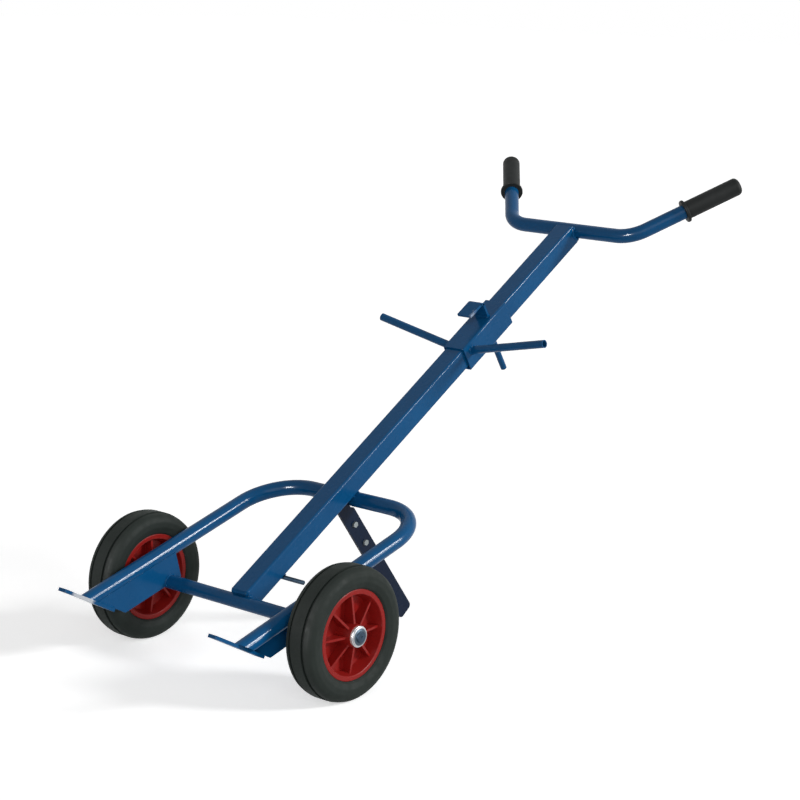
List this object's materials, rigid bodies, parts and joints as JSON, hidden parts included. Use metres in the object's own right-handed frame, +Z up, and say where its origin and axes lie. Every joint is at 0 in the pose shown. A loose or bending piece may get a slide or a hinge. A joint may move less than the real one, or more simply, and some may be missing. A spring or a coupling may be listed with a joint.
{
  "type": "drum trolley",
  "caption": "Two-wheeled hand trolley for a steel drum: sloping square spine, bent-tube frame with toe prongs, sliding rim hook, splayed handles and a rear parking leg.",
  "frame": {"origin": "on the floor under the middle of the parked trolley's bounding box", "axes": "+X along the axle, to the left of a user at the handle who faces the load, +Y from the toes to the handle, +Z up"},
  "size_m": [0.5834, 1.324, 0.8057],
  "materials": {
    "blue_paint": "gloss enamel",
    "red_plastic": "moulded, glossy",
    "tyre_rubber": "moulded solid rubber",
    "grip_rubber": "moulded, satin",
    "zinc_steel": "zinc plated",
    "nylon": "turned nylon"
  },
  "bodies": {
    "frame": {"spine": "blue_paint", "handlebar": "blue_paint", "u_frame": "blue_paint", "cheek_left": "blue_paint", "cheek_right": "blue_paint", "toe_left": "blue_paint", "toe_right": "blue_paint", "axle_tube": "blue_paint", "axle": "zinc_steel", "axle_washers": "zinc_steel", "retaining_rings": "zinc_steel", "leg_lug": "blue_paint", "rear_leg": "blue_paint", "spine_cap": "blue_paint", "foot_peg": "zinc_steel", "leg_bolts": "zinc_steel", "lock_nuts": "zinc_steel", "grip_left": "grip_rubber", "grip_right": "grip_rubber"},
    "left_wheel": {"tyre_left": "tyre_rubber", "wheel_centre_left": "red_plastic", "bushes_left": "nylon"},
    "right_wheel": {"tyre_right": "tyre_rubber", "wheel_centre_right": "red_plastic", "bushes_right": "nylon"},
    "sleeve_body": {"sleeve": "blue_paint", "rim_hook": "blue_paint", "sleeve_arm_left": "blue_paint", "sleeve_arm_right": "blue_paint", "pull_peg": "blue_paint"}
  },
  "joints": [
    {"name": "left_wheel_spin", "type": "hinge", "parent": "frame", "child": "left_wheel", "pos_m": [-0.24, -0.41739, 0.115], "axis": [1, 0, 0], "continuous": true},
    {"name": "right_wheel_spin", "type": "hinge", "parent": "frame", "child": "right_wheel", "pos_m": [0.24, -0.41739, 0.115], "axis": [1, 0, 0], "continuous": true},
    {"name": "sleeve_slide", "type": "slide", "parent": "frame", "child": "sleeve_body", "axis": [0, 0.8448, 0.5351], "range_m": [-0.338, 0.235]}
  ]
}
